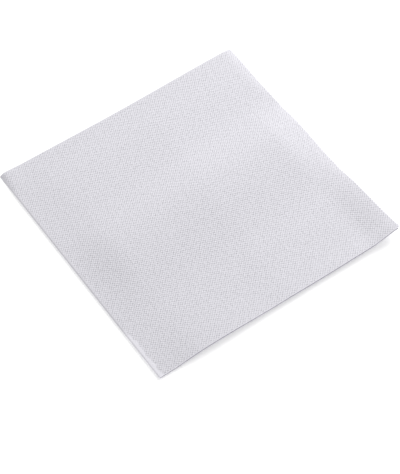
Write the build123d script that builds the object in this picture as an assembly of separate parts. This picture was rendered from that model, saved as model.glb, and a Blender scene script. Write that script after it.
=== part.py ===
"""A paper napkin: one square sheet folded in half twice, lying on a table as it comes to rest.

The frame has +Z up and its origin on the table, under the middle of the folded square. The first
fold runs along the -X edge, the second along the -Y edge. The cut edges lie along +X and +Y.
Beside both folds the leaves are pressed flat. Past these strips they wave gently, each following
the leaf below it.
"""

import os
from math import cos, exp, hypot, pi

from build123d import *

# The sheet as it was cut, in millimetres
sheet_width = 400.0  # across the first fold
sheet_length = 400.0  # across the second fold
leaf_thickness = 0.35

# The two folds
first_fold_gap = 0.15  # between the two leaves of a folded pair
second_fold_gap = 0.20  # between the lower pair and the upper pair
first_fold_offset = 0.9  # how far the outer leaves reach past the inner ones along +X
second_fold_offset = 0.7  # how far the upper pair reaches past the lower one along +Y
pressed_strip = 14.0  # how far past each fold the leaves lie flat
strip_blend = 45.0  # from a pressed strip to where the leaves lie freely

# How the leaves spring apart past the pressed strips, and fan out at the open corner
first_fold_spring = 0.30
second_fold_spring = 0.40
spring_distance = 16.0  # from the strip to where the leaves stand furthest apart
corner_fan = 0.25  # between neighbouring leaves

# The long ridge from the second fold to the +Y edge. The heights of the waves are those of the
# control points, and the smooth face drawn to them stays lower.
ridge_height_at_fold = 2.8
ridge_height_at_edge = 7.5
ridge_x_at_fold = -3.0
ridge_x_at_edge = -17.0
ridge_reach = 34.0

# The soft crease across the middle, nearly parallel to the second fold
crease_height = 2.0
crease_y = 10.5
crease_slant = -0.065  # in y for each unit of x
crease_reach = 72.0
crease_rounding = 4.0

# The open corner, which curls up
corner_lift = 8.0
corner_start_x = 8.0
corner_start_y = 18.0

# The swell of the +X edge near the second fold
swell_height = 3.8
swell_y = -42.0
swell_reach = 38.0
swell_start_x = 40.0

# How far apart the control points of each leaf's face lie
control_spacing_x = 9.8
control_spacing_y = 12.4

# Lengths that follow from the folds
pair_thickness = 2 * leaf_thickness + first_fold_gap
first_fold_radius = pair_thickness / 2
first_fold_path = pi * (first_fold_gap + leaf_thickness) / 2
second_fold_radius = pair_thickness + second_fold_gap / 2
second_fold_path = pi * (second_fold_radius - leaf_thickness / 2)
outer_leaf_width = (sheet_width - first_fold_path + first_fold_offset) / 2
upper_pair_length = (sheet_length - second_fold_path + second_fold_offset) / 2
folded_width = outer_leaf_width + first_fold_radius
folded_length = upper_pair_length + second_fold_radius

# Where the folds, the pressed strips and the cut edges lie
first_fold_x = -folded_width / 2 + first_fold_radius
strip_end_x = first_fold_x + pressed_strip
outer_edge_x = folded_width / 2
inner_edge_x = outer_edge_x - first_fold_offset
second_fold_y = -folded_length / 2 + second_fold_radius
strip_end_y = second_fold_y + pressed_strip
upper_edge_y = folded_length / 2
lower_edge_y = upper_edge_y - second_fold_offset


def smooth_step(value, start, end):
    """Goes from 0 at start to 1 at end, level at both."""
    share = min(max((value - start) / (end - start), 0.0), 1.0)
    return share * share * (3 - 2 * share)


def round_rise(distance, reach):
    """1 at the middle of a rise and 0 from reach on, level at both."""
    return (1 + cos(pi * min(abs(distance) / reach, 1.0))) / 2


def roof(distance, reach, rounding):
    """1 on the rounded top of a roof, and level where it runs out at reach."""
    share = min((hypot(distance, rounding) - rounding) / reach, 1.0)
    return (1 - share) ** 2


def freedom(x, y):
    """0 on the pressed strips and 1 where the leaves lie freely."""
    from_first_fold = smooth_step(x, strip_end_x, strip_end_x + strip_blend)
    from_second_fold = smooth_step(y, strip_end_y, strip_end_y + strip_blend)
    return from_first_fold * from_second_fold


def ridge(x, y):
    along = (y - strip_end_y) / (upper_edge_y - strip_end_y)
    middle_x = ridge_x_at_fold + (ridge_x_at_edge - ridge_x_at_fold) * along
    growth = smooth_step(along, 0, 1)
    height = ridge_height_at_fold + (ridge_height_at_edge - ridge_height_at_fold) * growth
    return height * round_rise(x - middle_x, ridge_reach)


def crease(x, y):
    return crease_height * roof(y - crease_y - crease_slant * x, crease_reach, crease_rounding)


def open_corner(x, y):
    across = smooth_step(x, corner_start_x, outer_edge_x)
    return corner_lift * across * smooth_step(y, corner_start_y, upper_edge_y)


def edge_swell(x, y):
    across = smooth_step(x, swell_start_x, outer_edge_x)
    return swell_height * across * round_rise(y - swell_y, swell_reach)


def sheet_height(x, y):
    """How high the lowest leaf is lifted off the table."""
    return freedom(x, y) * (ridge(x, y) + crease(x, y) + open_corner(x, y) + edge_swell(x, y))


def spring(distance):
    """How far two leaves stand apart past a pressed strip, 1 where they are furthest."""
    share = max(distance, 0.0) / spring_distance
    return share * exp(1 - share)


def fan(x, y):
    """How much further neighbouring leaves stand apart towards the open corner."""
    return corner_fan * smooth_step(x, 0, outer_edge_x) * smooth_step(y, 0, upper_edge_y)


def gap_in_pair(x, y):
    sprung = first_fold_spring * spring(x - strip_end_x) * freedom(x, y)
    return first_fold_gap + sprung + fan(x, y)


def gap_between_pairs(x, y):
    sprung = second_fold_spring * spring(y - strip_end_y) * freedom(x, y)
    return second_fold_gap + sprung + fan(x, y)


def underside(leaf, x, y):
    """The height of a leaf's underside. Leaf 0 lies lowest, and leaves 0 and 1 are the lower pair."""
    height = sheet_height(x, y) + leaf * leaf_thickness
    if leaf > 0:
        height += gap_in_pair(x, y)
    if leaf > 1:
        height += gap_between_pairs(x, y)
    if leaf > 2:
        height += gap_in_pair(x, y)
    return height


def cut_x(leaf):
    """Where a leaf ends along +X: the lowest and the highest are the outer ones."""
    return outer_edge_x if leaf in (0, 3) else inner_edge_x


def spaced(start, end, spacing):
    """Places from start to end, as near to the spacing as fits a whole number of steps."""
    steps = round((end - start) / spacing)
    return [start + (end - start) * step / steps for step in range(steps + 1)]


def wavy_faces(leaf, cut_y):
    """The skin of a leaf past the pressed strips: a smooth sheet given its thickness.

    A Bezier face keeps between its lowest and highest control points, so no wave of it dips
    below the table. The thickened sheet's two sides on the strips lie inside the paper, so
    they are left out.
    """
    xs = spaced(strip_end_x, cut_x(leaf), control_spacing_x)
    ys = spaced(strip_end_y, cut_y, control_spacing_y)
    rows = [[Vector(x, y, underside(leaf, x, y)) for x in xs] for y in ys]
    sheet_piece = Solid.extrude(Face.make_bezier_surface(rows), Vector(0, 0, leaf_thickness))
    return [
        face
        for face in sheet_piece.faces()
        if face.center().X > strip_end_x + leaf_thickness and face.center().Y > strip_end_y + leaf_thickness
    ]


def bend(low, high, y):
    """One face of a folded pair, cut through at y from strip end to strip end round the first fold."""
    radius = (high - low) / 2
    middle = (first_fold_x - radius, y, low + radius)
    return [
        Edge.make_line((strip_end_x, y, low), (first_fold_x, y, low)),
        Edge.make_three_point_arc((first_fold_x, y, low), middle, (first_fold_x, y, high)),
        Edge.make_line((first_fold_x, y, high), (strip_end_x, y, high)),
    ]


def pressed_outline(low, y):
    """A folded pair's first fold and strip, cut through at y. Its underside lies at low."""
    high = low + pair_thickness
    outer = bend(low, high, y)
    inner = bend(low + leaf_thickness, high - leaf_thickness, y)
    return outer, inner


def flat_leaf(leaf, y):
    """The three free sides of a flat leaf, cut through at y past the strip of the first fold."""
    low = underside(leaf, strip_end_x, y)
    high = low + leaf_thickness
    corners = [(strip_end_x, y, low), (cut_x(leaf), y, low), (cut_x(leaf), y, high), (strip_end_x, y, high)]
    return [Edge.make_line(start, end) for start, end in zip(corners, corners[1:])]


def pair_outline(lower_leaf, y):
    """A whole folded pair cut through at y, where it lies flat."""
    outer, inner = pressed_outline(underside(lower_leaf, strip_end_x, y), y)
    return Wire(outer + inner + flat_leaf(lower_leaf, y) + flat_leaf(lower_leaf + 1, y))


def folded_pair(lower_leaf, cut_y):
    """The skin of a pair from the second fold to its cut edge along +Y."""
    faces = Shell.extrude(pair_outline(lower_leaf, second_fold_y), (0, pressed_strip, 0)).faces()
    low = underside(lower_leaf, strip_end_x, strip_end_y)
    for line in pressed_outline(low, strip_end_y):
        faces += Shell.extrude(Wire(line), (0, cut_y - strip_end_y, 0)).faces()
    outer, inner = pressed_outline(low, cut_y)
    ends = [Edge.make_line(outer[0] @ 0, inner[0] @ 0), Edge.make_line(outer[-1] @ 1, inner[-1] @ 1)]
    faces += [Face(Wire(outer + inner + ends))]
    return faces + wavy_faces(lower_leaf, cut_y) + wavy_faces(lower_leaf + 1, cut_y)


def napkin():
    """The whole sheet. The second fold turns the lower pair over into the upper one."""
    turning_line = Axis((0, second_fold_y, second_fold_radius), (-1, 0, 0))
    second_fold = Shell.revolve(pair_outline(0, second_fold_y), 180, turning_line)
    skin = second_fold.faces() + folded_pair(0, lower_edge_y) + folded_pair(2, upper_edge_y)
    return Solid(Shell(skin))


os.makedirs("parts", exist_ok=True)
sheet = napkin()
sheet.label = "napkin"
export_step(sheet, "parts/napkin.step")
size = sheet.bounding_box().size
print(f"folded size {size.X:.2f} x {size.Y:.2f} x {size.Z:.2f} mm, volume {sheet.volume:.0f} mm3")
print(f"sheet by volume {sheet.volume / leaf_thickness / 100:.1f} cm2")
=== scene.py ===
# %% [markdown]
# # A folded paper napkin
#
# A dinner napkin is one square of thin, embossed tissue, folded in half and then in half again.
# Lying on a table it is hardly thicker than card, and all its charm is in small things: soft
# waves, sharp pressed folds, four cut edges that don't quite meet, and thousands of tiny dimples.
#
# The lesson makes it as the factory does. A flat sheet is drawn first, with its dimples laid out
# on it, and then it is folded. That way the pattern runs round the folds by itself.

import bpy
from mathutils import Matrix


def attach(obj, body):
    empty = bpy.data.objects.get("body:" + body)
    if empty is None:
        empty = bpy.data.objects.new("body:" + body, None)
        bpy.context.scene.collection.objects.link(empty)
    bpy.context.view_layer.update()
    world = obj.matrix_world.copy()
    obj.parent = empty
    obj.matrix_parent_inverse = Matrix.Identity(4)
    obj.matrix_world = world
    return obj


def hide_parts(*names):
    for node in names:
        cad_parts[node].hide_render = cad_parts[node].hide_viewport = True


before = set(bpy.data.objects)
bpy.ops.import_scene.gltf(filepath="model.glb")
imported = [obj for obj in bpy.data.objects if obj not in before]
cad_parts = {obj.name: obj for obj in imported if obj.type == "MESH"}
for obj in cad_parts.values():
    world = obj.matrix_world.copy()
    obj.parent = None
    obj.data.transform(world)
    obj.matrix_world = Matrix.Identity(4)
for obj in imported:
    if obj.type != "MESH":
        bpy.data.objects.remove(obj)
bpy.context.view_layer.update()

# %% The other modules
from math import atan2, cos, exp, hypot, pi, radians, sin

import bmesh
import bpy
from mathutils import Vector, noise

# %% [markdown]
# ## The camera
#
# The picture looks down on the table at a steep angle, through a long lens, so the square shows as
# a leaning diamond with almost parallel sides. The camera is placed first, because everything
# later is judged through it.
#
# A camera could be aimed with a Track To constraint. A level camera needs only its direction:
# `to_track_quat` turns its own Z, which points backwards, along that direction and keeps Y up.

# %% Place the camera
photo_height = 474  # pixels, the longer side
focal_length = 1707.5  # pixels
sensor_size = 36  # millimetres, Blender's default
camera_turn = radians(54.92)  # from the -Y side towards +X
camera_climb = radians(55.69)  # above the table
camera_distance = 1.1775  # metres
camera_aim = Vector((0.02453, -0.01443, 0.0020))  # metres

level_part = cos(camera_climb)
camera_back = Vector((sin(camera_turn) * level_part, -cos(camera_turn) * level_part, sin(camera_climb)))
camera_data = bpy.data.cameras.new("camera")
camera_data.sensor_width = sensor_size
camera_data.lens = focal_length / photo_height * sensor_size
camera = bpy.data.objects.new("camera", camera_data)
camera.location = camera_aim + camera_back * camera_distance
camera.rotation_euler = camera_back.to_track_quat("Z", "Y").to_euler()
bpy.context.collection.objects.link(camera)
bpy.context.scene.camera = camera
print("lens", round(camera_data.lens, 1), "mm")

# %% [markdown]
# ## The flat sheet
#
# The real sheet is cut from a web of two-ply tissue that has already run between embossing
# rollers. It is drawn here as a fine grid in millimetres, 400 across. The grid is moved so that
# both fold lines pass through zero: `s` runs across the first fold and `q` across the second.
#
# A plain grid has no vertices where a fold needs them. `bisect_plane` cuts extra lines close
# to each fold, and nowhere else. Then `solidify` gives the sheet its two faces and its rim.

# %% The sheet's own sizes, in millimetres
sheet_side = 400.0
leaf_thickness = 0.35
first_fold_gap = 0.15
second_fold_gap = 0.20  # between the lower pair and the upper pair
first_fold_offset = 0.9  # the outer leaves reach this far past the inner ones
second_fold_offset = 0.7  # the upper pair reaches this far past the lower pair
sheet_middle = Vector((first_fold_offset / 2, second_fold_offset / 2, 0))

pair_thickness = 2 * leaf_thickness + first_fold_gap
first_fold_radius = pair_thickness / 2
first_fold_path = pi * (first_fold_gap + leaf_thickness) / 2
second_fold_middle = pair_thickness + second_fold_gap / 2
outer_leaf_path = pi * (second_fold_middle - leaf_thickness / 2)
outer_leaf_width = (sheet_side - first_fold_path + first_fold_offset) / 2
upper_pair_length = (sheet_side - outer_leaf_path + second_fold_offset) / 2

half_width = (outer_leaf_width + first_fold_radius) / 2
half_length = (upper_pair_length + second_fold_middle) / 2
first_fold_x = -half_width + first_fold_radius
second_fold_y = -half_length + second_fold_middle
print("folded to", round(2 * half_width, 2), "by", round(2 * half_length, 2), "mm")

# %% Draw the grid and cut the fold lines
grid_cells = 180
first_fold_lines = 4  # cut in each half of the bend
second_fold_lines = 8
shoulder_lines = 4  # more lines on either side of the second fold
shoulder_step = 0.45  # between them
snap_distance = 1e-6  # a vertex this near to a cut is used for it
rim_rise = 0.5  # the normal of a rim face points up or down by less than this


def cut_lines(sheet, direction, places):
    """Cuts a line through the sheet, square to a direction, at each place along it."""
    for place in places:
        everything = sheet.verts[:] + sheet.edges[:] + sheet.faces[:]
        point = direction * place
        bmesh.ops.bisect_plane(
            sheet, geom=everything, dist=snap_distance, plane_co=point, plane_no=direction
        )


def round_the_bend(half_path, lines):
    """Evenly spaced places from one end of a bend to the other."""
    return [half_path * line / lines for line in range(-lines, lines + 1)]


def beside_the_bend(half_path):
    """A few places on either side of a bend, where the leaves run out of it."""
    steps = range(1, shoulder_lines + 1)
    return [side * (half_path + shoulder_step * step) for side in (-1, 1) for step in steps]


def on_rim(face):
    return abs(face.normal.z) < rim_rise


def order_the_rim(sheet):
    """Puts the rim's faces in order round the sheet. Solidify makes them in another each time."""
    sheet.faces.index_update()
    after_the_others = len(sheet.faces)

    def place_in_order(face):
        middle = face.calc_center_median()
        return after_the_others + atan2(middle.y, middle.x) if on_rim(face) else face.index

    sheet.faces.sort(key=place_in_order)
    sheet.faces.index_update()


def flat_sheet():
    sheet = bmesh.new()
    bmesh.ops.create_grid(sheet, x_segments=grid_cells, y_segments=grid_cells, size=sheet_side / 2)
    bmesh.ops.translate(sheet, verts=sheet.verts, vec=sheet_middle)
    across, along = Vector((1, 0, 0)), Vector((0, 1, 0))
    cut_lines(sheet, across, round_the_bend(first_fold_path / 2, first_fold_lines))
    cut_lines(sheet, along, round_the_bend(outer_leaf_path / 2, second_fold_lines))
    cut_lines(sheet, along, beside_the_bend(outer_leaf_path / 2))
    bmesh.ops.recalc_face_normals(sheet, faces=sheet.faces)
    bmesh.ops.solidify(sheet, geom=sheet.faces[:], thickness=leaf_thickness)
    sheet.normal_update()
    order_the_rim(sheet)
    return sheet


sheet = flat_sheet()
levels = sorted({round(vert.co.z, 4) for vert in sheet.verts})
print("flat sheet:", len(sheet.verts), "vertices,", len(sheet.faces), "faces, levels", levels)

# %% [markdown]
# ## Where the pattern sits
#
# Each corner of each face remembers its place on the flat sheet as a UV, in millimetres. The
# dimples will be drawn from that UV, so they stay on the paper wherever it goes. Object
# coordinates would do for a stiff thing, but they are places in space, and the dimples would be
# smeared wherever the paper turns.


# %% Remember the flat places
def remember_flat_places(sheet):
    places = sheet.loops.layers.uv.new("flat_sheet")
    for face in sheet.faces:
        for loop in face.loops:
            loop[places].uv = loop.vert.co.xy


remember_flat_places(sheet)
print("UV layers", list(sheet.loops.layers.uv.keys()))

# %% [markdown]
# ## A map for baking
#
# When the napkin is exported, its colours are painted into one square image. Blender could lay
# out that image by itself, but it would give every leaf the same share. Only the leaf on top is
# seen from near, so this second map gives it half of the image, and the dimples on it stay
# sharp. The underside gets a good part too, and the hidden faces share a strip.

# %% Lay out the image
image_reach = 202.0  # a little more than half the sheet, so that its rim fits
rim_width = 1.2  # what the thin rim gets, so that it isn't left black
hidden_depth = 0.75 * leaf_thickness  # the middles of the hidden faces lie deeper than this
across_image = ((-image_reach, 0.01), (0.0, 0.09), (image_reach, 0.99))
up_image = ((-image_reach, 0.16), (0.0, 0.42), (image_reach, 0.99))
up_hidden_strip = ((-image_reach, 0.01), (image_reach, 0.14))


def between_marks(value, marks):
    """Straight lines from mark to mark. A mark is a value and where it goes."""
    for (start, low), (end, high) in zip(marks, marks[1:]):
        if value <= end:
            return low + (high - low) * (value - start) / (end - start)
    return marks[-1][1]


def lay_out_for_baking(sheet):
    image = sheet.loops.layers.uv.new("OFBake")
    top = max(vert.co.z for vert in sheet.verts)
    for face in sheet.faces:
        hidden = face.calc_center_median().z < top - hidden_depth
        for loop in face.loops:
            place = loop.vert.co.xy
            if on_rim(face) and loop.vert.co.z < top - leaf_thickness / 2:
                place = place + face.normal.xy * rim_width
            up = between_marks(place.y, up_hidden_strip if hidden else up_image)
            loop[image].uv = (between_marks(place.x, across_image), up)


lay_out_for_baking(sheet)
print("UV layers", list(sheet.loops.layers.uv.keys()))

# %% [markdown]
# ## Folding
#
# A fold is a bend round a small half circle. Paper hardly stretches, so a point keeps its
# distance along the sheet: before the bend it lies on the near leaf, after it on the far leaf,
# and between them it goes round. Folding could be done with rotations and a hinge, but a
# function of the flat place is exact, and two of them in a row give the folded corner, where one
# bend runs inside the other.


# %% Two folds as functions
def first_fold(s, depth):
    """Where a point of the sheet lies across the first fold, and how high in its pair.

    depth is 0 on the face that ends up outside, and one leaf thickness on the other.
    """
    half_path = first_fold_path / 2
    if s >= half_path:
        return first_fold_x + s - half_path, depth
    if s <= -half_path:
        return first_fold_x - s - half_path, pair_thickness - depth
    radius = first_fold_radius - depth
    angle = pi / 2 * (1 - s / half_path)
    return first_fold_x - radius * sin(angle), first_fold_radius - radius * cos(angle)


def second_fold(q, level, bend_level):
    """Where a point lies across the second fold, and how high. level is its height in its pair.

    bend_level is the middle of its leaf, which sets how much paper the bend takes up.
    """
    half_path = pi / 2 * (second_fold_middle - bend_level)
    radius = second_fold_middle - level
    if q >= half_path:
        return second_fold_y + q - half_path, second_fold_middle + radius
    if q <= -half_path:
        return second_fold_y - q - half_path, level
    angle = pi / 2 * q / half_path
    return second_fold_y - radius * cos(angle), second_fold_middle + radius * sin(angle)


print("a point 50 mm past the first fold:", first_fold(50, 0))
print("a point on the middle of the first fold:", first_fold(0, 0))

# %% [markdown]
# ## Waves
#
# Nothing about a real napkin is quite flat. Paper that was packed under pressure keeps a long
# ridge and a faint crease, its cut edges curl, its open corner stands up, and the folds lie
# almost flat because they were ironed by the machine.
#
# A cloth simulation could find such a shape, but it would find a different one each time a
# setting changed. Here each wave is a named height with a place and a reach, in millimetres, so
# each can be moved until it matches.

# %% The sizes of the waves, in millimetres
strip = 4.0  # beside each fold, where the leaves lie flat
strip_blend = 30.0  # past the strip, where they come free

ridge_height_at_fold = 3.8
ridge_height_at_edge = 6.3
ridge_x_at_fold = 3.5
ridge_x_at_edge = -10.5
ridge_reach_left = 41.0
ridge_reach_right = 56.0
ridge_blend = 36.0  # over which the ridge runs out towards the second fold

crease_height = 0.7
crease_y = 12.0
crease_slant = -0.065
crease_reach = 60.0
crease_rounding = 2.0

edge_dip = 4.1
edge_dip_reach = 57.0
edge_dip_width = 24.5

corner_lift = 4.2
corner_start_x = -20.0
corner_width = 24.5
corner_tip_lift = 1.4
corner_tip_start_x = 87.0
corner_tip_start_y = 20.0

swell_height = 1.4
swell_y = -49.5
swell_reach = 48.0
swell_start_x = 44.0

side_curl = 1.4
side_curl_start_x = 70.0

fold_corner_lift = 3.2
fold_corner_reach = 62.0
fold_corner_start_y = -20.0

edge_curl = 1.1
edge_curl_width = 7.0
edge_curl_fade_x = 25.0  # from here it grows less
edge_curl_end_x = 50.0

cockle_height = 0.10
cockle_size = 26.0
cockle_seed = 0.5
print("ridge up to", ridge_height_at_edge, "mm and crease", crease_height, "mm high")


# %% Shapes that the waves are made of
def smooth_step(value, start, end):
    """Goes from 0 at start to 1 at end, level at both."""
    share = min(max((value - start) / (end - start), 0.0), 1.0)
    return share * share * (3 - 2 * share)


def round_rise(distance, reach):
    """1 at the middle of a rise and 0 from reach on, level at both."""
    return (1 + cos(pi * min(abs(distance) / reach, 1.0))) / 2


def roof(distance, reach, rounding):
    """1 on the rounded top of a roof, and level where it runs out at reach."""
    share = min((hypot(distance, rounding) - rounding) / reach, 1.0)
    return (1 - share) ** 2


def unevenness(x, y, size, seed):
    """Soft noise between 0 and 2. Each seed gives another, and each always gives the same."""
    return 1 + noise.noise(Vector((x / size, y / size, seed)))


def off_fold(place, fold_place):
    """0 beside a fold and 1 where the leaves lie freely."""
    return smooth_step(place, fold_place + strip, fold_place + strip + strip_blend)


print("a step from 0 to 1:", [round(smooth_step(part, 0, 4), 2) for part in range(5)])


# %% The height of the sheet over the table
def ridge(x, y):
    """The long ridge from the second fold to the +Y edge, where it is highest."""
    along = (y - second_fold_y) / (half_length - second_fold_y)
    from_middle = x - ridge_x_at_fold - (ridge_x_at_edge - ridge_x_at_fold) * along
    reach = ridge_reach_right if from_middle > 0 else ridge_reach_left
    growth = smooth_step(along, 0, 1)
    height = ridge_height_at_fold + (ridge_height_at_edge - ridge_height_at_fold) * growth
    off_the_fold = smooth_step(y, second_fold_y, second_fold_y + ridge_blend)
    return height * round_rise(from_middle, reach) * off_the_fold


def crease(x, y):
    """The faint crease that crosses the ridge."""
    return crease_height * roof(y - crease_y - crease_slant * x, crease_reach, crease_rounding)


def dip_at_edge(x, y):
    """The +Y edge curls down again where the ridge reaches it."""
    towards_edge = smooth_step(y, half_length - edge_dip_width, half_length)
    return -edge_dip * round_rise(x, edge_dip_reach) * towards_edge


def open_corner(x, y):
    """The corner where all four leaves are free stands up, and its tip a little more."""
    across = smooth_step(x, corner_start_x, half_width)
    lift = corner_lift * across * smooth_step(y, half_length - corner_width, half_length)
    across_tip = smooth_step(x, corner_tip_start_x, half_width)
    return lift + corner_tip_lift * across_tip * smooth_step(y, corner_tip_start_y, half_length)


def right_edge(x, y):
    """The +X edge swells near the second fold and curls up a little along its whole length."""
    swell = swell_height * smooth_step(x, swell_start_x, half_width) * round_rise(y - swell_y, swell_reach)
    share = max(x - side_curl_start_x, 0.0) / (half_width - side_curl_start_x)
    return swell + side_curl * share * share


def fold_corner(x, y):
    """The corner at the far end of the first fold, which stands up a little with its fold."""
    across = round_rise(x + half_width, fold_corner_reach)
    return fold_corner_lift * across * smooth_step(y, fold_corner_start_y, half_length)


def cockle(x, y):
    """The slight unevenness that paper takes on as it lies."""
    return cockle_height * unevenness(x, y, cockle_size, cockle_seed)


def wave_height(x, y):
    free_waves = crease(x, y) + dip_at_edge(x, y) + open_corner(x, y) + right_edge(x, y) + cockle(x, y)
    off_folds = off_fold(y, second_fold_y) * free_waves + ridge(x, y)
    return off_fold(x, first_fold_x) * off_folds + fold_corner(x, y)


def sheet_height(x, y):
    """All the waves. The last of the +Y edge bends down where it lies free of the table."""
    height = wave_height(x, y)
    share = max(y - half_length + edge_curl_width, 0.0) / edge_curl_width
    curl = min(edge_curl, height) * (1 - smooth_step(x, edge_curl_fade_x, edge_curl_end_x))
    return height - curl * share * share


print("open corner lifted by", round(sheet_height(half_width, half_length), 1), "mm")

# %% [markdown]
# ## Between the leaves
#
# Four leaves lie on each other, and they don't touch all over. They spring apart past the
# pressed folds and fan out towards the open corner, never by the same amount twice. Evenly
# spaced leaves would look like one thick board at the cut edges.
#
# Where both folds meet, the bends of the inner leaves push the outer ones up. That closed corner
# is the thickest place of a real napkin, and it is rolled round more than the folds beside it.

# %% How far the leaves stand apart
first_fold_spring = 0.22
second_fold_spring = 0.24
spring_distance = 16.0
fan_height = 0.05
fan_unevenness = 0.08
fan_size = 45.0
lower_pair_seed = 3.5
upper_pair_seed = 7.5
between_pairs_seed = 11.5


def spring(distance):
    """How far two leaves stand apart past a fold, 1 where they are furthest."""
    share = max(distance, 0.0) / spring_distance
    return share * exp(1 - share)


def freedom(x, y):
    return off_fold(x, first_fold_x) * off_fold(y, second_fold_y)


def fan(x, y, seed):
    towards_corner = smooth_step(x, 0, half_width) * smooth_step(y, 0, half_length)
    uneven = unevenness(x, y, fan_size, seed)
    return fan_height * towards_corner + fan_unevenness * uneven * freedom(x, y)


def gap_in_pair(x, y, seed):
    return first_fold_spring * spring(x - first_fold_x - strip) * freedom(x, y) + fan(x, y, seed)


def gap_between_pairs(x, y):
    apart = second_fold_spring * spring(y - second_fold_y - strip) * freedom(x, y)
    return apart + fan(x, y, between_pairs_seed)


print("in the middle the pairs stand", round(gap_between_pairs(0, 0), 2), "mm further apart")

# %% The closed corner
closed_corner_bulge = 0.6
closed_corner_crest = 4.0  # from the second fold to the top of the bulge
closed_corner_roll = 1.5  # how far the leaves roll down again from there to the fold
closed_corner_reach_x = 26.0
closed_corner_reach_y = 14.0


def bulge(x, y, level):
    """The closed corner is thicker than the folds beside it, mostly in its upper leaves."""
    from_crest = y + half_length - closed_corner_crest
    reach = closed_corner_reach_y if from_crest > 0 else closed_corner_crest
    rise = closed_corner_bulge * round_rise(from_crest, reach)
    rise -= closed_corner_roll * (min(from_crest, 0.0) / closed_corner_crest) ** 2
    share_of_level = min(level / (2 * pair_thickness), 1.0)
    return rise * share_of_level * round_rise(x + half_width, closed_corner_reach_x)


def lift_of_leaf(s, q, x, y, level):
    """How much higher a point lies than in a tight fold. Signs of s and q tell the leaf."""
    lift = sheet_height(x, y) + bulge(x, y, level)
    if s < 0 or q > 0:
        lift += gap_in_pair(x, y, lower_pair_seed)
    if q > 0:
        lift += gap_between_pairs(x, y)
        if s > 0:
            lift += gap_in_pair(x, y, upper_pair_seed)
    return lift


highest = bulge(-half_width, closed_corner_crest - half_length, 2 * pair_thickness)
print("closed corner bulges by", round(highest, 2), "mm")


# %% Fold the sheet
def fold(sheet):
    top = max(vert.co.z for vert in sheet.verts)
    for vert in sheet.verts:
        s, q = vert.co.xy
        depth = leaf_thickness if vert.co.z < top - leaf_thickness / 2 else 0.0
        x, level = first_fold(s, depth)
        bend_level = first_fold(s, leaf_thickness / 2)[1]
        y, z = second_fold(q, level, bend_level)
        vert.co = (x, y, z + lift_of_leaf(s, q, x, y, z))


fold(sheet)
print("folded sheet is", round(max(vert.co.z for vert in sheet.verts), 2), "mm high")

# %% [markdown]
# ## From millimetres to an object
#
# Blender's scene is in metres. The sheet's two faces are shaded smooth, but the line between a
# face and the cut rim is a real corner, so those edges are marked sharp.

# %% Make the object
millimetre = 0.001  # in metres
sharpest_smooth = radians(60)  # an edge that turns further than this is sharp


def finish_mesh(sheet, name):
    bmesh.ops.scale(sheet, verts=sheet.verts, vec=Vector((millimetre, millimetre, millimetre)))
    bmesh.ops.recalc_face_normals(sheet, faces=sheet.faces)
    for face in sheet.faces:
        face.smooth = True
    for edge in sheet.edges:
        if edge.calc_face_angle(0) > sharpest_smooth:
            edge.smooth = False
    mesh = bpy.data.meshes.new(name)
    sheet.to_mesh(mesh)
    sheet.free()
    piece = bpy.data.objects.new(name, mesh)
    bpy.context.collection.objects.link(piece)
    return piece


napkin = finish_mesh(sheet, "folded_napkin")
print("napkin:", sum(len(face.vertices) - 2 for face in napkin.data.polygons), "triangles")

# %% [markdown]
# ## The emboss
#
# Rollers with rows of fine pins press dimples into the tissue, in a square pattern that stands
# on its corner, so the rows run along the sheet's edges and each row is shifted by half a step.
# The dimples are about a millimetre wide. Modelled as mesh they would be seventy thousand
# hollows, so they are drawn as a node group: it turns the flat place into a height for the
# Bump node, and the same number darkens the colour inside each hollow.
#
# A cosine each way gives hollows with bumps between them. One way it swings less, which draws
# the hollows out into ovals. The steps differ a little across and along the sheet, because the
# web is under tension while it is embossed. No two pins press equally deep, so noise as fine as
# the pattern changes the depth from dimple to dimple.

# %% Helpers for node trees
def new_group(name, inputs, outputs):
    """A group with its sockets, and its two nodes for what goes in and what comes out."""
    group = bpy.data.node_groups.new(name, "ShaderNodeTree")
    for socket, kind in inputs:
        group.interface.new_socket(socket, in_out="INPUT", socket_type=kind)
    for socket, kind in outputs:
        group.interface.new_socket(socket, in_out="OUTPUT", socket_type=kind)
    return group, group.nodes.new("NodeGroupInput"), group.nodes.new("NodeGroupOutput")


def calculate(tree, kind, operation, *sources):
    """A Math or Vector Math node. Each source is an output to link or a value to set."""
    node = tree.nodes.new(kind)
    node.operation = operation
    for socket, source in zip(node.inputs, sources):
        if isinstance(source, bpy.types.NodeSocket):
            tree.links.new(source, socket)
        else:
            socket.default_value = source
    return next(output for output in node.outputs if output.enabled)


def remap(tree, source, start, end, low, high):
    """A smooth change from low to high while the source goes from start to end."""
    node = tree.nodes.new("ShaderNodeMapRange")
    node.interpolation_type = "SMOOTHERSTEP"
    tree.links.new(source, node.inputs["Value"])
    for name, value in (("From Min", start), ("From Max", end), ("To Min", low), ("To Max", high)):
        if isinstance(value, bpy.types.NodeSocket):
            tree.links.new(value, node.inputs[name])
        else:
            node.inputs[name].default_value = value
    return node.outputs["Result"]


def noise_node(tree, place, size, detail):
    """Soft noise over the flat sheet. size is how large its blotches are, across and along."""
    scaled = calculate(tree, "ShaderNodeVectorMath", "DIVIDE", place, (*size, 1.0))
    node = tree.nodes.new("ShaderNodeTexNoise")
    node.inputs["Scale"].default_value = 1.0
    node.inputs["Detail"].default_value = detail
    tree.links.new(scaled, node.inputs["Vector"])
    return node.outputs["Fac"]


def distances(tree, place):
    """How far a place lies from zero, across and along."""
    unsigned = calculate(tree, "ShaderNodeVectorMath", "ABSOLUTE", place)
    sides = tree.nodes.new("ShaderNodeSeparateXYZ")
    tree.links.new(unsigned, sides.inputs["Vector"])
    return sides.outputs["X"], sides.outputs["Y"]


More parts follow.
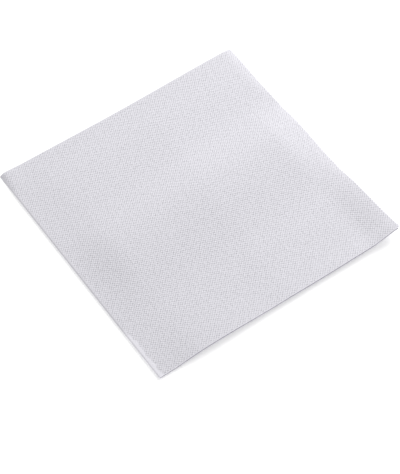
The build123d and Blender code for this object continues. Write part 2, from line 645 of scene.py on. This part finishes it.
# %% A node group for the dimples
dimple_step = (1.492, 1.521, 1.0)  # from dimple to dimple, in millimetres across and along
dimple_turn = radians(45)
dimple_swing = (0.185, 0.315, 0.0)  # of the two waves that cross, at most 0.5 together
plain_level = 0.5  # where the paper is neither pressed in nor raised
dimple_unevenness = 0.56
unevenness_size = (1.1, 1.1)  # in steps
unevenness_detail = 0.0
unevenness_from = 0.3  # most of the noise lies between these two
unevenness_to = 0.7


def emboss_group():
    inputs = [("Flat place", "NodeSocketVector"), ("Step", "NodeSocketVector")]
    inputs += [("Shallowest", "NodeSocketFloat"), ("Crushed", "NodeSocketFloat")]
    group, given, result = new_group("emboss", inputs, [("Hollow", "NodeSocketFloat")])
    flat_place, step = given.outputs["Flat place"], given.outputs["Step"]
    in_steps = calculate(group, "ShaderNodeVectorMath", "DIVIDE", flat_place, step)
    turn = group.nodes.new("ShaderNodeVectorRotate")
    turn.rotation_type = "Z_AXIS"
    turn.inputs["Angle"].default_value = dimple_turn
    group.links.new(in_steps, turn.inputs["Vector"])
    angles = calculate(group, "ShaderNodeVectorMath", "MULTIPLY", turn.outputs["Vector"], (2 * pi, 2 * pi, 0))
    waves = calculate(group, "ShaderNodeVectorMath", "COSINE", angles)
    both_ways = calculate(group, "ShaderNodeVectorMath", "DOT_PRODUCT", waves, dimple_swing)

    chance = noise_node(group, in_steps, unevenness_size, unevenness_detail)
    depth = remap(group, chance, unevenness_from, unevenness_to, given.outputs["Shallowest"], 1.0)
    uneven = calculate(group, "ShaderNodeMath", "MULTIPLY", both_ways, depth)
    kept = calculate(group, "ShaderNodeMath", "SUBTRACT", 1.0, given.outputs["Crushed"])
    dimple = calculate(group, "ShaderNodeMath", "MULTIPLY_ADD", uneven, kept, plain_level)
    group.links.new(dimple, result.inputs["Hollow"])
    return group


emboss = emboss_group()
print("emboss group:", len(emboss.nodes), "nodes")

# %% [markdown]
# ## Pressed folds
#
# The folding machine runs the folded napkin between rollers. Right at a fold the paper is bent
# and ironed, and the dimples are crushed flat, so a fold shows as a smooth line, with painted
# shade that makes it slightly greyer, for the shade of the bend. It is uneven, and broadest at the
# open end of the second fold, where four leaves slide on each other as they are pressed. There a
# painted highlight makes the line lighter instead, for the light on the rounded fold.
#
# Both folds pass through zero on the flat sheet, so the distance to a fold is simply the size of
# one coordinate. Noise shifts it a little, which frays the border of the line.

# %% A node group for the pressed folds
first_fold_line = 0.6  # how far the dimples are crushed beside each fold, in millimetres
second_fold_line = 0.8
second_fold_line_at_edge = 2.4
broader_from = 150.0  # along the second fold
broader_to = 168.0
fold_line_blur = 1.4
fold_line_fraying = 5.0
fraying_size = (4.5, 4.5)
fraying_detail = 2.0


def pressed_folds_group():
    outputs = [("Fold line", "NodeSocketFloat"), ("Broad end", "NodeSocketFloat")]
    group, given, result = new_group("pressed_folds", [("Flat place", "NodeSocketVector")], outputs)
    flat_place = given.outputs["Flat place"]
    from_first, from_second = distances(group, flat_place)
    broad_end = remap(group, from_first, broader_from, broader_to, 0.0, 1.0)
    group.links.new(broad_end, result.inputs["Broad end"])

    fraying = noise_node(group, flat_place, fraying_size, fraying_detail)
    furthest_in = -fold_line_fraying / 2
    shift = calculate(group, "ShaderNodeMath", "MULTIPLY_ADD", fraying, fold_line_fraying, furthest_in)
    extra_width = second_fold_line_at_edge - second_fold_line
    broader = calculate(group, "ShaderNodeMath", "MULTIPLY", broad_end, extra_width)
    from_first = calculate(group, "ShaderNodeMath", "ADD", from_first, shift)
    from_second = calculate(group, "ShaderNodeMath", "ADD", from_second, shift)
    from_second = calculate(group, "ShaderNodeMath", "SUBTRACT", from_second, broader)
    lines = [
        remap(group, distance, width, width + fold_line_blur, 1.0, 0.0)
        for distance, width in ((from_first, first_fold_line), (from_second, second_fold_line))
    ]
    either = calculate(group, "ShaderNodeMath", "MAXIMUM", *lines)
    group.links.new(either, result.inputs["Fold line"])
    return group


pressed_folds = pressed_folds_group()
print("pressed folds group:", len(pressed_folds.nodes), "nodes")

# %% [markdown]
# ## The tissue
#
# Seen from near, tissue is a felt of fibres: it has a fine grain, a cloudy look where the
# fibres lie thicker, and a very soft, dull surface. A third group makes grain and clouds from
# noise, again on the flat place, and the material adds a little sheen for the fuzz of loose
# fibres.
#
# Along a cut the fibres end in a fringe that light comes through. The rim would look too dark in
# its own shade, so the group also gives a mask of it, and the material paints light on the rim there.

# %% A node group for the fibres
grain_size = (0.8, 1.2)  # in millimetres, longer along the web, where most fibres lie
grain_detail = 3.0
cloud_size = (7.0, 7.0)
cloud_detail = 2.0
fringe_width = 0.4


def tissue_group():
    outputs = [(name, "NodeSocketFloat") for name in ("Grain", "Cloud", "Fringe")]
    group, given, result = new_group("tissue", [("Flat place", "NodeSocketVector")], outputs)
    flat_place = given.outputs["Flat place"]
    for output, size, detail in (("Grain", grain_size, grain_detail), ("Cloud", cloud_size, cloud_detail)):
        group.links.new(noise_node(group, flat_place, size, detail), result.inputs[output])

    from_middle = calculate(group, "ShaderNodeVectorMath", "SUBTRACT", flat_place, sheet_middle)
    furthest = calculate(group, "ShaderNodeMath", "MAXIMUM", *distances(group, from_middle))
    fringe = remap(group, furthest, sheet_side / 2 - fringe_width, sheet_side / 2, 0.0, 1.0)
    group.links.new(fringe, result.inputs["Fringe"])
    return group


tissue = tissue_group()
print("tissue group:", len(tissue.nodes), "nodes")

# %% [markdown]
# ## The paper
#
# The material puts the three groups together. The colour goes from the paper's own to a darker
# one in the hollows, painted shade because less light reaches them, and one factor for the
# brightness gathers the painted shade and highlight on the folds, the clouds, the grain and the
# painted light on the fringe. An image of the paper could give all of it at once, but it
# would repeat, and it would blur in a close view.

# %% The values of the paper
paper_colour = (0.878, 0.868, 0.914)
hollow_colour = (0.59, 0.58, 0.631)
paper_roughness = 0.92
paper_gloss = 0.25  # half of what the shader gives by itself
fuzz = 0.12
fuzz_roughness = 0.6
emboss_depth = 0.00052  # metres
grain_depth = 0.00003
crushed_share = 0.85  # of a dimple's depth, on a fold
fold_line_painted_shade = 0.955  # painted shade along the folds, for the shade of the bend
# painted highlight at the broad end of the second fold, for the light on the rounded fold
broad_end_painted_highlight = 1.10
cloud_brightness = 0.985  # between the clouds
grain_brightness = 0.92  # between the fibres
mottle_from = 0.25  # nearly all of the noise lies between these two
mottle_to = 0.75
# painted light on the cut rim, which lies in its own shade
fringe_painted_light = 1.25
print("hollows are", round(hollow_colour[1] / paper_colour[1], 2), "times as bright as the paper")


# %% The paper material
def brightness_with_painted_light(tree, folds, fibres):
    """One factor for the colour: painted shade and highlight on the folds, clouds, grain, painted light on
    the fringe.
    """
    broad_end = folds.outputs["Broad end"]
    # painted shade on the fold line, and a painted highlight at its broad end
    painted_on_fold = remap(tree, broad_end, 0.0, 1.0, fold_line_painted_shade, broad_end_painted_highlight)
    brightness = remap(tree, folds.outputs["Fold line"], 0.0, 1.0, 1.0, painted_on_fold)
    for output, darkest in (("Cloud", cloud_brightness), ("Grain", grain_brightness)):
        mottled = remap(tree, fibres.outputs[output], mottle_from, mottle_to, darkest, 1.0)
        brightness = calculate(tree, "ShaderNodeMath", "MULTIPLY", brightness, mottled)
    # painted light on the cut rim
    lighter = remap(tree, fibres.outputs["Fringe"], 0.0, 1.0, 1.0, fringe_painted_light)
    return calculate(tree, "ShaderNodeMath", "MULTIPLY", brightness, lighter)


def paper_relief(tree, dimples, fibres):
    """The normal of the embossed surface, with the grain on top of it."""
    pressed = tree.nodes.new("ShaderNodeBump")
    pressed.invert = True
    pressed.inputs["Distance"].default_value = emboss_depth
    tree.links.new(dimples.outputs["Hollow"], pressed.inputs["Height"])
    rough = tree.nodes.new("ShaderNodeBump")
    rough.inputs["Distance"].default_value = grain_depth
    tree.links.new(fibres.outputs["Grain"], rough.inputs["Height"])
    tree.links.new(pressed.outputs["Normal"], rough.inputs["Normal"])
    return rough.outputs["Normal"]


def paper_material():
    material = bpy.data.materials.new("embossed_tissue")
    material.use_nodes = True
    tree = material.node_tree
    nodes, links = tree.nodes, tree.links
    shader = nodes["Principled BSDF"]
    shader.inputs["Roughness"].default_value = paper_roughness
    shader.inputs["Specular IOR Level"].default_value = paper_gloss
    shader.inputs["Sheen Weight"].default_value = fuzz
    shader.inputs["Sheen Roughness"].default_value = fuzz_roughness

    flat_place = nodes.new("ShaderNodeUVMap")
    flat_place.uv_map = "flat_sheet"
    dimples, folds, fibres = [nodes.new("ShaderNodeGroup") for _ in range(3)]
    for node, group in ((dimples, emboss), (folds, pressed_folds), (fibres, tissue)):
        node.node_tree = group
        links.new(flat_place.outputs["UV"], node.inputs["Flat place"])
    dimples.inputs["Step"].default_value = dimple_step
    dimples.inputs["Shallowest"].default_value = 1 - dimple_unevenness
    crushed = calculate(tree, "ShaderNodeMath", "MULTIPLY", folds.outputs["Fold line"], crushed_share)
    crushed = calculate(tree, "ShaderNodeMath", "MAXIMUM", crushed, fibres.outputs["Fringe"])
    links.new(crushed, dimples.inputs["Crushed"])

    shade = nodes.new("ShaderNodeMix")
    shade.data_type = "RGBA"
    shade.inputs["A"].default_value = (*paper_colour, 1)
    shade.inputs["B"].default_value = (*hollow_colour, 1)
    links.new(dimples.outputs["Hollow"], shade.inputs["Factor"])
    colour = nodes.new("ShaderNodeVectorMath")
    colour.operation = "SCALE"
    links.new(shade.outputs["Result"], colour.inputs[0])
    links.new(brightness_with_painted_light(tree, folds, fibres), colour.inputs["Scale"])
    links.new(colour.outputs["Vector"], shader.inputs["Base Color"])
    links.new(paper_relief(tree, dimples, fibres), shader.inputs["Normal"])
    return material


napkin.data.materials.append(paper_material())
print("material", napkin.data.materials[0].name)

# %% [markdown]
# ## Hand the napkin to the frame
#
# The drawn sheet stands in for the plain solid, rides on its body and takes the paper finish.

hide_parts("napkin")
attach(napkin, "root")
print("napkin rides on the root body")

# %% [markdown]
# ## The table
#
# A plain white floor, as in a product picture. Such a table is often of white acrylic with a
# little light from below, which keeps it pure white and the shadows thin, so the floor's
# material glows a little. A backdrop that curves up behind isn't needed, because the camera
# looks down steeply.

# %% Lay the floor
floor_side = 4.0  # metres
floor_colour = (0.96, 0.96, 0.96)
floor_roughness = 0.9
floor_glow = 0.2


def floor_material():
    material = bpy.data.materials.new("pale_floor")
    material.use_nodes = True
    shader = material.node_tree.nodes["Principled BSDF"]
    shader.inputs["Base Color"].default_value = (*floor_colour, 1)
    shader.inputs["Roughness"].default_value = floor_roughness
    shader.inputs["Emission Color"].default_value = (1, 1, 1, 1)
    shader.inputs["Emission Strength"].default_value = floor_glow
    return material


floor_mesh = bmesh.new()
bmesh.ops.create_grid(floor_mesh, x_segments=1, y_segments=1, size=floor_side / 2)
floor_data = bpy.data.meshes.new("floor")
floor_mesh.to_mesh(floor_data)
floor_mesh.free()
floor = bpy.data.objects.new("floor", floor_data)
floor.data.materials.append(floor_material())
bpy.context.collection.objects.link(floor)
print("floor", floor_side, "m wide")

# %% [markdown]
# ## Light
#
# The picture is lit softly and from high behind the napkin. One large key light from that side
# brings out the waves, because a slope that faces it is a little brighter, and an even white
# surrounding fills the rest. A sun lamp would shade the waves as well, but a large area light
# also softens the shadow under the lifted corner.

# %% Set the lights
key_towards = Vector((-0.35, 0.73, 0.66)).normalized()  # from the napkin to the light
key_distance = 1.05  # metres
key_size = 0.7
key_power = 7.8  # watts
surround_strength = 0.705


def aim_light(name, towards, distance, size, power):
    """An area light that shines back along its direction from the napkin."""
    data = bpy.data.lights.new(name, "AREA")
    data.size = size
    data.energy = power
    light = bpy.data.objects.new(name, data)
    light.location = towards * distance
    light.rotation_euler = towards.to_track_quat("Z", "Y").to_euler()
    bpy.context.collection.objects.link(light)


aim_light("key", key_towards, key_distance, key_size, key_power)
world = bpy.data.worlds.new("studio")
world.use_nodes = True
world.node_tree.nodes["Background"].inputs["Color"].default_value = (1, 1, 1, 1)
world.node_tree.nodes["Background"].inputs["Strength"].default_value = surround_strength
bpy.context.scene.world = world
bpy.context.scene.view_settings.view_transform = "Standard"
print("key light", key_power, "W, surround", surround_strength)
